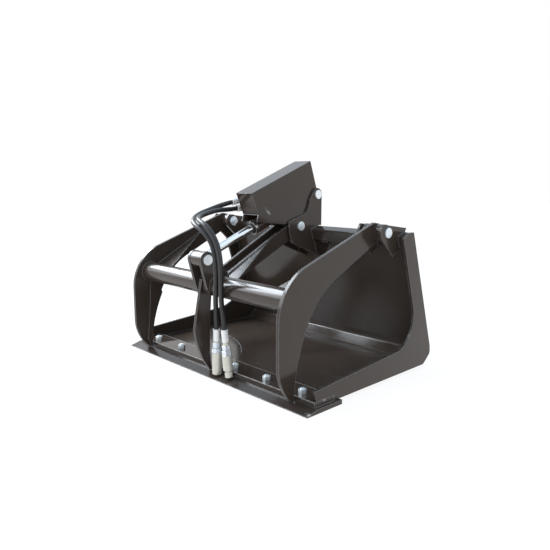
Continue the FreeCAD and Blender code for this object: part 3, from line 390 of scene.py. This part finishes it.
def scuff_mask(tree, place, grain, centre, axis, length, width):
    """Mask of a short scuffed streak round a point of the surface."""
    offset = vectors(tree, "SUBTRACT", place, centre)
    along = vectors(tree, "DOT_PRODUCT", offset, Vector(axis).normalized())
    reach = vectors(tree, "LENGTH", offset)
    beside = maths(tree, "SUBTRACT", product(tree, reach, reach), product(tree, along, along))
    u = maths(tree, "DIVIDE", along, length)
    v = maths(tree, "DIVIDE", maths(tree, "SQRT", maths(tree, "MAXIMUM", beside, 0.0)), width)
    radius = maths(tree, "ADD", product(tree, u, u), product(tree, v, v))
    return product(tree, span(tree, radius, 0.1, 1.0, 0.8, 0.0), span(tree, grain, 0.38, 0.62, 0.0, 1.0))


def rubbed_and_highlight_mask(tree, place, grain, y, z, reach):
    """Mask of a long edge along X that material slides over: wear, and on the base bar also a painted
    highlight along the edge.
    """
    parts = split(tree, place)
    off_y = maths(tree, "ABSOLUTE", maths(tree, "SUBTRACT", parts["Y"], y))
    off_z = maths(tree, "ABSOLUTE", maths(tree, "SUBTRACT", parts["Z"], z))
    near = span(tree, maths(tree, "ADD", off_y, off_z), reach * 0.4, reach, 1.0, 0.0)
    return product(tree, near, span(tree, grain, 0.30, 0.62, 0.35, 1.0))


def scratch_mask(tree, place, grain, centre, radius, middle, reach):
    """Mask of a thin scratch along a circle on the floor, near one point of it."""
    from_centre, from_middle = [vectors(tree, "DISTANCE", place, (*point, FLOOR_TOP))
                                for point in (centre, middle)]
    off = maths(tree, "ABSOLUTE", maths(tree, "SUBTRACT", from_centre, radius))
    line = span(tree, off, 0.0010, 0.0026, 1.0, 0.0)
    part = span(tree, from_middle, reach * 0.6, reach, 1.0, 0.0)
    return product(tree, line, part, span(tree, grain, 0.35, 0.60, 0.15, 0.9))


# MATERIALS

PAINT_DARK, PAINT_LIGHT = (0.0330, 0.0240, 0.0195), (0.0470, 0.0355, 0.0285)
DUST = (0.120, 0.105, 0.090)
# bluish light grey of the sharp edges: wear from rubbing with a painted highlight
EDGE_WEAR_AND_HIGHLIGHT = (0.500, 0.525, 0.560)
SCUFFED = (0.62, 0.60, 0.58)
# grey of edges and scratches that material rubs; on the base bar's edges it is also a painted highlight
RUBBED_WEAR_AND_HIGHLIGHT = (0.30, 0.29, 0.28)
RUBBER_DARK, RUBBER_LIGHT = (0.0125, 0.0118, 0.0122), (0.030, 0.028, 0.028)


def paint(name, dust, rough, shine=0.31, scuffs=(), rubbed_and_highlit_edges=(), scratches=()):
    """Glossy black powder coat, a little warm: faint orange peel, thin dust, and edges bared by rubbing
    with a painted highlight on them.
    """
    material, tree, shader, place = new_material(name)
    large = noise(tree, place, 5.0, 5.0, 0.6)
    fine = noise(tree, place, 55.0, 6.0, 0.65)
    peel = noise(tree, place, 420.0, 2.0, 0.5)
    normal = rounded_normal(tree, 0.0020)
    lift = split(tree, surface_normal(tree))["Z"]
    colour = blend_colour(tree, large, PAINT_DARK, PAINT_LIGHT)
    # dust lies on faces that look up
    cloud = span(tree, product(tree, fine, large), 0.22, 0.42, 0.0, 1.0)
    dusty = product(tree, span(tree, lift, 0.2, 0.9, 0.15, 1.0), cloud, dust)
    colour = blend_colour(tree, dusty, colour, DUST)
    # painted highlight on the sharp edges, brightest where they look up toward the lights, mixed with wear
    # from rubbing
    edge_wear_and_highlight = product(tree, edge_mask(tree, normal), span(tree, fine, 0.35, 0.7, 0.35, 0.95),
                   span(tree, lift, -0.3, 0.5, 0.75, 1.0))
    colour = blend_colour(tree, edge_wear_and_highlight, colour, EDGE_WEAR_AND_HIGHLIGHT)
    # scuffs, edges that material rubs (with a painted highlight on the base bar) and scratches
    for marks, mask, shade in ((scuffs, scuff_mask, SCUFFED), (rubbed_and_highlit_edges, rubbed_and_highlight_mask, RUBBED_WEAR_AND_HIGHLIGHT),
                               (scratches, scratch_mask, RUBBED_WEAR_AND_HIGHLIGHT)):
        for mark in marks:
            colour = blend_colour(tree, mask(tree, place, fine, *mark), colour, shade)
    tree.links.new(colour, shader.inputs["Base Color"])
    gloss = span(tree, noise(tree, place, 16.0, 4.0, 0.6), 0.3, 0.7, rough - 0.03, rough + 0.04)
    tree.links.new(maths(tree, "ADD", gloss, product(tree, dusty, 0.45)), shader.inputs["Roughness"])
    shader.inputs["Specular IOR Level"].default_value = shine
    shader.inputs["Coat Weight"].default_value = 0.08
    shader.inputs["Coat Roughness"].default_value = 0.05
    bump(tree, shader, peel, 0.06, 0.0004, normal)
    return material


def metal(name, dark, light, rough, grain, metallic=1.0, spread=0.08):
    """Plated or bare metal with mottled colour and roughness."""
    material, tree, shader, place = new_material(name)
    tree.links.new(blend_colour(tree, noise(tree, place, grain, 4.0, 0.6), dark, light),
                   shader.inputs["Base Color"])
    shader.inputs["Metallic"].default_value = metallic
    tree.links.new(span(tree, noise(tree, place, grain / 3), 0.3, 0.7, rough - spread, rough + spread),
                   shader.inputs["Roughness"])
    bump(tree, shader, noise(tree, place, 620.0, 2.0), 0.05, 0.0002, rounded_normal(tree, 0.0006))
    return material


def rubber(name):
    """Black rubber with a faint wrapped texture and grey scuffing."""
    material, tree, shader, place = new_material(name)
    scuffed = span(tree, noise(tree, place, 38.0, 6.0, 0.7), 0.50, 0.80, 0.0, 0.5)
    tree.links.new(blend_colour(tree, scuffed, RUBBER_DARK, RUBBER_LIGHT), shader.inputs["Base Color"])
    tree.links.new(span(tree, noise(tree, place, 90.0), 0.3, 0.7, 0.28, 0.38),
                   shader.inputs["Roughness"])
    shader.inputs["Specular IOR Level"].default_value = 0.5
    wrap = tree.nodes.new("ShaderNodeTexWave")
    wrap.bands_direction = "DIAGONAL"
    wrap.inputs["Scale"].default_value = 260.0
    wrap.inputs["Distortion"].default_value = 1.5
    tree.links.new(place, wrap.inputs["Vector"])
    bump(tree, shader, wrap.outputs["Fac"], 0.06, 0.0002)
    return material


# A scuff has a centre, a direction, a half length and a half width
BAR_SCUFF = ((0.536, 0.097, 0.035), (1.0, 0.25, 0.0), 0.030, 0.009)
GUARD_SCUFF = ((0.0475, 0.3025, 0.6361), (0.0, 0.72, -0.69), 0.023, 0.0085)
EDGE_SCUFF = ((0.549, 0.012, 0.007), (1.0, 0.0, 0.2), 0.016, 0.010)
# An edge that material rubs has a y, a z and how far the mark reaches. On the base bar's top edges the mark
# is also a painted highlight.
BAR_EDGE_HIGHLIGHTS = [(BASE_REAR, BASE_TOP, 0.0046), (BASE_FRONT, BASE_TOP, 0.0034)]
CUTTING_LIP = (0.0, 0.0, 0.0040)
# A scratch has its circle's centre and radius, and a middle point and its reach from there
FLOOR_SCRATCH = ((-0.4051, -0.0810), 0.4743, (-0.207, 0.350), 0.210)

black = paint("black_powder_coat", dust=0.1, rough=0.17)
black_floor = paint("black_powder_coat_worn", dust=0.18, rough=0.17, scratches=[FLOOR_SCRATCH])
# the base bar's top edges carry a painted highlight along with wear from rubbing
black_bar = paint("black_powder_coat_bar", dust=0.0, rough=0.08, rubbed_and_highlit_edges=BAR_EDGE_HIGHLIGHTS, scuffs=[BAR_SCUFF])
black_tube = paint("black_powder_coat_tube", dust=0.0, rough=0.20, shine=0.42)
black_guard = paint("black_powder_coat_guard", dust=0.0, rough=0.13, shine=0.36, scuffs=[GUARD_SCUFF])
black_edge = paint("black_powder_coat_edge", dust=0.10, rough=0.15, rubbed_and_highlit_edges=[CUTTING_LIP],
                   scuffs=[EDGE_SCUFF])
zinc = metal("zinc_plated_steel", (0.70, 0.76, 0.80), (0.88, 0.92, 0.95), 0.30, 110.0,
             metallic=0.75, spread=0.05)
chrome = metal("hard_chrome", (0.80, 0.81, 0.82), (0.86, 0.87, 0.88), 0.09, 14.0, spread=0.02)
sleeve = metal("nickel_plated_sleeve", (0.55, 0.54, 0.47), (0.66, 0.65, 0.58), 0.32, 22.0,
               metallic=0.5, spread=0.04)
bright = metal("zinc_plated_hexagon", (0.62, 0.68, 0.73), (0.80, 0.84, 0.88), 0.24, 26.0,
               metallic=0.7, spread=0.04)
crimped = metal("zinc_plated_ferrule", (0.72, 0.72, 0.72), (0.84, 0.84, 0.83), 0.30, 26.0,
                metallic=0.4, spread=0.04)
fitting = metal("plated_fitting", (0.66, 0.67, 0.66), (0.80, 0.81, 0.80), 0.26, 40.0, spread=0.05)
turned = metal("turned_steel", (0.30, 0.30, 0.29), (0.46, 0.45, 0.44), 0.24, 70.0)
cover = rubber("hose_cover")
seal = rubber("seal_rubber")

# Every node that isn't listed is black
NODES_OF_FINISH = [
    (zinc, ["plow_bolts", "hex_nuts", "pivot_pin_right", "pivot_pin_left", "pivot_pin_centre",
            "base_pin", "rod_pin", "pin_washers", "rod_pin_washer", "roll_pins", "rod_roll_pin"]),
    (chrome, ["rod_shaft"]),
    (turned, ["piston", "gland", "bushing_centre"]),
    (fitting, ["base_elbow", "rod_elbow", "base_line", "rod_line", "coupler_1", "coupler_2",
               "coupler_ferrule_1", "coupler_ferrule_2", "hose_ferrule_1", "hose_ferrule_2"]),
    (cover, ["hose_1", "hose_2"]),
    (black_floor, ["floor_shell"]),
    (black_bar, ["base_edge"]),
    (black_tube, ["cross_tube", "gusset_left", "rod_eye"]),
    (black_guard, ["hood"]),
    (black_edge, ["cutting_edge"]),
]
finish_of = {name: finish for finish, names in NODES_OF_FINISH for name in names}
for name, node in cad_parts.items():
    finish = finish_of.get(name, black)
    if not node.material_slots:
        node.data.materials.append(finish)
    for slot in node.material_slots:
        slot.material = finish
for hose, start, line in hoses:
    hose.data.materials.append(cover)


# PIECES

def add_piece(name, mesh_data, finishes, body, crease=None):
    """Object of a finished mesh, on its body. Edges sharper than the crease, in degrees, stay sharp."""
    mesh = bpy.data.meshes.new(name)
    bmesh.ops.recalc_face_normals(mesh_data, faces=mesh_data.faces)
    mesh_data.to_mesh(mesh)
    mesh_data.free()
    for finish in finishes:
        mesh.materials.append(finish)
    for face in mesh.polygons:
        face.use_smooth = True
    if crease is not None:
        mesh.set_sharp_from_angle(angle=math.radians(crease))
    piece = link(name, mesh)
    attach(piece, body)
    return piece


CREASE = 32
SHELL_BEND, SHELL_BEND_SHARE = 0.010, 0.22


def seam_points(x):
    """The inner corner of a side plate, with the bends of the shell rounded."""
    corners = [Vector((x, y, z)) for y, z in INNER_SHELL]
    points = []
    for i, here in enumerate(corners):
        if i in (1, 2):
            a = (corners[i - 1] - here).normalized()
            b = (corners[i + 1] - here).normalized()
            points += [here + a * SHELL_BEND, here + (a + b) * SHELL_BEND * SHELL_BEND_SHARE,
                       here + b * SHELL_BEND]
        else:
            points.append(here)
    return points


# Seams of the bucket: the shell and base edge on the side plates, and stitches along the width
seams = bmesh.new()
for side in (-1, 1):
    inner = side * SIDE_INNER_X
    weld(seams, seam_points(inner - side * 0.001), BEAD["shell"])
    weld(seams, [(inner, BASE_FRONT + 0.012, BASE_TOP), (inner, BASE_REAR, BASE_TOP)], BEAD["base_edge"])
    weld(seams, [(side * SIDE_X, BASE_FRONT + 0.002, EDGE_THICK), (side * SIDE_X, BASE_REAR, EDGE_THICK)],
         BEAD["plate"])
    weld(seams, [(inner, y, z) for y, z in TUBE_CORNERS[1:]], BEAD["plate"])
FLOOR_STITCH = (BASE_REAR, FLOOR_TOP + 0.001)
for count, pitch, half, place, bead in ((8, 0.14, 0.032, FLOOR_STITCH, "shell"),
                                        (9, 0.12, 0.022, TUBE_FOOT, "ear")):
    for x in spread(count, pitch):
        weld(seams, [(x - half, *place), (x + half, *place)], BEAD[bead])
add_piece("weld_bucket_seams", seams, [black], "bucket")

# Ears on the tube
ears = bmesh.new()
for side in (-1, 1):
    for ear in (OUTER_EAR_X - EAR_THICK, OUTER_EAR_X - EAR_SPAN):
        for x in (ear, ear + EAR_THICK):
            weld(ears, [(side * x, y, z) for y, z in TUBE_CORNERS[:3]], BEAD["ear"])
add_piece("weld_ears", ears, [black], "bucket")

# Mast plates on the tube and down the shell's back
mast = bmesh.new()
for side in (-1, 1):
    for x in (MAST_INNER_X, MAST_OUTER_X):
        for line in (TUBE_CORNERS[:3], MAST_FOOT):
            weld(mast, [(side * x, y, z) for y, z in line], BEAD["plate"])
add_piece("weld_mast", mast, [black], "bucket")

# Grapple: arms, centre plates, tine and gussets on the cross tube. A gusset's places are its reach
# from the tube's axis along its slope, and its sides in X from the plate that it stands on.
GUSSET_SLOPE = math.radians(28.8)
GUSSET_TOP, GUSSET_THICK = 0.009, 0.008
GUSSET_FOOT, GUSSET_START, GUSSET_END, GUSSET_SHORT_END = 0.0405, 0.048, 0.318, 0.300
SIDE_GUSSET, CENTRE_GUSSET = (0.006, 0.113), (0.005, 0.070)


def gusset_point(x, reach, lift=GUSSET_TOP):
    return (x, CROSS[0] - math.sin(GUSSET_SLOPE) * lift + math.cos(GUSSET_SLOPE) * reach,
            CROSS[1] + math.cos(GUSSET_SLOPE) * lift + math.sin(GUSSET_SLOPE) * reach)


joints = bmesh.new()
for side in (-1, 1):
    weld(joints, circle(CROSS, CROSS_R + 0.0008, side * (ARM_INNER_X - 0.0008)), BEAD["shell"], closed=True)
    for x in (CENTRE_X, CENTRE_INNER_X):
        weld(joints, circle(CROSS, CROSS_R + 0.0006, side * x, -18.0, 212.0), BEAD["plate"])
    weld(joints, circle(CROSS, CROSS_R + 0.0004, side * TINE_X, 152.0, 262.0, 24), BEAD["gusset"])
    root = side * ARM_INNER_X
    weld(joints, [gusset_point(root, reach) for reach in (GUSSET_START, GUSSET_END)], BEAD["ear"])
    weld(joints, [gusset_point(root, reach, GUSSET_TOP - GUSSET_THICK)
                  for reach in (GUSSET_START, GUSSET_SHORT_END)], BEAD["gusset"])
    weld(joints, [gusset_point(root - side * x, GUSSET_FOOT) for x in SIDE_GUSSET], BEAD["ear"])
weld(joints, [gusset_point(CENTRE_X, reach) for reach in (GUSSET_START, GUSSET_SHORT_END)], BEAD["gusset"])
weld(joints, [gusset_point(CENTRE_X + x, GUSSET_FOOT) for x in CENTRE_GUSSET], BEAD["gusset"])
add_piece("weld_grapple", joints, [black], "grapple")

# Cylinder: the cap's weld and the ports' welds, which lie on the barrel
cylinder_welds = bmesh.new()
weld(cylinder_welds, [on_cylinder(CAP, CAP_R * math.sin(a), CAP_R * math.cos(a)) for a in angles(40)],
     BEAD["cap"], closed=True)
for port in PORTS:
    ring = []
    for a in angles(28):
        x = PORT_R * math.cos(a)
        ring.append(on_cylinder(port + PORT_R * math.sin(a), math.sqrt(BARREL_R ** 2 - x * x), x))
    weld(cylinder_welds, ring, BEAD["port"], closed=True)
add_piece("weld_cylinder", cylinder_welds, [black], "cylinder")

# Wiper seal round the rod: its section as a distance from the gland's face and a radius
WIPER = [(0.0, 0.0235), (0.0022, 0.0232), (0.0032, 0.0205), (0.0030, 0.0180), (0.0052, 0.0164),
         (0.0, 0.0164)]
GLAND_FACE = BARREL_FRONT + 0.010
wiper = bmesh.new()
loops = [[wiper.verts.new(on_cylinder(GLAND_FACE + d, r * math.sin(a), r * math.cos(a)))
          for d, r in WIPER] for a in angles(48)]
for one, two in zip(loops, loops[1:] + loops[:1]):
    for k in range(len(WIPER)):
        n = (k + 1) % len(WIPER)
        wiper.faces.new((one[k], one[n], two[n], two[k]))
add_piece("rod_wiper_seal", wiper, [seal], "cylinder")

# Couplers and crimped ferrules, as cross sections from the lower end
SLEEVE_HALF = [
    (0.0000, 0.0105, "round"), (0.0000, 0.0150, "round"), (0.0006, 0.0157, "round"),
    (0.0028, 0.0192, "round"), (0.0036, 0.0195, "round"), (0.0158, 0.0195, "round"),
    (0.0162, 0.0187, "round"), (0.0178, 0.0187, "round"), (0.0182, 0.0195, "round"),
    (0.0448, 0.0195, "round"), (0.0452, 0.0187, "round"), (0.0468, 0.0187, "round"),
    (0.0472, 0.0195, "round"), (0.0895, 0.0195, "round"), (0.0907, 0.0184, "round"),
    (0.0910, 0.0170, "hex"), (0.0920, 0.0178, "hex"), (0.1068, 0.0178, "hex"),
    (0.1078, 0.0170, "hex"), (0.1080, 0.0136, "round"), (0.1086, 0.0132, "round"),
    (0.1090, 0.0134, "hex"), (0.1100, 0.0142, "hex"), (0.1300, 0.0142, "hex"),
    (0.1310, 0.0134, "hex"), (0.1314, 0.0120, "round"), (0.1360, 0.0118, "round")]
NOSE_HALF = [
    (0.0000, 0.0100, "round"), (0.0000, 0.0142, "round"), (0.0010, 0.0152, "round"),
    (0.0172, 0.0152, "round"), (0.0180, 0.0147, "round"), (0.0184, 0.0124, "round"),
    (0.0266, 0.0124, "round"), (0.0270, 0.0183, "round"), (0.0284, 0.0195, "round"),
    (0.0540, 0.0195, "round"), (0.0544, 0.0188, "round"), (0.0558, 0.0188, "round"),
    (0.0562, 0.0195, "round"), (0.0845, 0.0195, "round"), (0.0857, 0.0184, "round"),
    (0.0860, 0.0168, "hex"), (0.0870, 0.0176, "hex"), (0.1028, 0.0176, "hex"),
    (0.1038, 0.0168, "hex"), (0.1040, 0.0138, "round"), (0.1046, 0.0134, "round"),
    (0.1050, 0.0137, "hex"), (0.1060, 0.0145, "hex"), (0.1230, 0.0145, "hex"),
    (0.1240, 0.0137, "hex"), (0.1244, 0.0120, "round"), (0.1360, 0.0118, "round")]
FERRULE = [
    (0.0000, 0.0128, "round"), (0.0012, 0.0138, "round"), (0.0110, 0.0139, "round"),
    (0.0118, 0.0135, "crimp"), (0.0180, 0.0135, "crimp"), (0.0188, 0.0138, "round"),
    (0.0230, 0.0138, "round"), (0.0238, 0.0135, "crimp"), (0.0300, 0.0135, "crimp"),
    (0.0308, 0.0138, "round"), (0.0350, 0.0138, "round"), (0.0358, 0.0135, "crimp"),
    (0.0420, 0.0135, "crimp"), (0.0428, 0.0139, "round"), (0.0470, 0.0138, "round"),
    (0.0480, 0.0118, "round"), (0.0478, 0.0097, "round")]


def hose_fitting(name, replaced, start, direction, sections, finishes, body):
    mesh_data = bmesh.new()
    turned_piece(mesh_data, start, direction, sections)
    piece = add_piece(name, mesh_data, finishes, body, crease=CREASE)
    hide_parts(replaced)
    return piece


for index, half in enumerate((SLEEVE_HALF, NOSE_HALF)):
    number = str(index + 1)
    hose, start, line = hoses[index]
    exit_point, out, tip, up = ends_of(index)
    end_pieces = [
        hose_fitting("quick_coupler_" + number, "coupler_" + number, tip, up, half,
                     [sleeve, bright], "bucket"),
        hose_fitting("crimp_ferrule_" + number, "coupler_ferrule_" + number, tip + up * COUPLER_LENGTH, up,
                     FERRULE, [crimped], "bucket"),
        hose_fitting("elbow_ferrule_" + number, "hose_ferrule_" + number, exit_point, out,
                     FERRULE, [crimped], "cylinder")]

# Threads on the ends of the plow bolts, above the nuts
THREAD_BASE, THREAD_TOP, THREAD_PITCH, THREAD_COUNT = 0.0500, 0.0539, 0.0008, 4
THREAD_ROOT_R, THREAD_CREST_R, THREAD_END_R = 0.0078, 0.0083, 0.0074
thread = []
for k in range(THREAD_COUNT):
    z = THREAD_BASE + THREAD_PITCH * k
    thread += [(z, THREAD_ROOT_R, "round"), (z + THREAD_PITCH / 2, THREAD_CREST_R, "round")]
thread.append((THREAD_TOP, THREAD_END_R, "round"))
threads = bmesh.new()
for x in spread(BOLT_COUNT, BOLT_PITCH):
    turned_piece(threads, Vector((x, BOLT_Y, 0.0)), Vector((0, 0, 1)), thread, 24)
add_piece("bolt_threads", threads, [zinc], "bucket", crease=CREASE)


# STAGE: a pale floor that gives its own light, a sky that is bluer overhead, and soft boxes

def stage_floor(name, size, height):
    sheet = bmesh.new()
    half = size / 2
    sheet.faces.new([sheet.verts.new((x, y, height))
                     for x, y in ((-half, -half), (half, -half), (half, half), (-half, half))])
    mesh = bpy.data.meshes.new(name)
    sheet.to_mesh(mesh)
    sheet.free()
    material = bpy.data.materials.new(name + "_finish")
    material.use_nodes = True
    shader = material.node_tree.nodes["Principled BSDF"]
    shader.inputs["Base Color"].default_value = (0.12, 0.12, 0.12, 1.0)
    shader.inputs["Emission Color"].default_value = (1.0, 1.0, 1.0, 1.0)
    shader.inputs["Emission Strength"].default_value = 0.90
    shader.inputs["Roughness"].default_value = 0.9
    shader.inputs["Specular IOR Level"].default_value = 0.0
    mesh.materials.append(material)
    link(name, mesh)


def soft_light(name, place, target, size, power, colour):
    data = bpy.data.lights.new(name, "AREA")
    data.shape = "RECTANGLE"
    data.size, data.size_y = size
    data.energy = power
    data.color = colour
    light = link(name, data)
    light.location = place
    light.rotation_euler = (Vector(target) - Vector(place)).to_track_quat("-Z", "Y").to_euler()


stage_floor("studio_floor", size=40.0, height=-0.0006)

HORIZON, OVERHEAD = (1.0, 1.0, 1.0), (0.92, 1.10, 1.28)
world = bpy.data.worlds.new("studio")
bpy.context.scene.world = world
world.use_nodes = True
tree = world.node_tree
sky = tree.nodes["Background"]
sky.inputs["Strength"].default_value = 1.0
heading = tree.nodes.new("ShaderNodeTexCoord").outputs["Generated"]
overhead = span(tree, split(tree, heading)["Z"], 0.32, 0.60, 0.0, 1.0)
tree.links.new(blend_colour(tree, overhead, HORIZON, OVERHEAD), sky.inputs["Color"])

soft_light("left_softbox", place=(-2.25, -0.38, 2.30), target=(0.0, 0.1, 0.35), size=(2.2, 1.6),
           power=165.0, colour=(0.88, 0.94, 1.0))
soft_light("front_softbox", place=(-2.5, -1.9, 1.9), target=(0.0, 0.1, 0.35), size=(1.6, 1.5),
           power=32.0, colour=(0.90, 0.95, 1.0))
soft_light("side_softbox", place=(2.6, -0.4, 1.6), target=(0.2, 0.3, 0.3), size=(1.4, 1.4),
           power=1.0, colour=(1.0, 0.97, 0.93))
bpy.context.scene.view_settings.view_transform = "Standard"
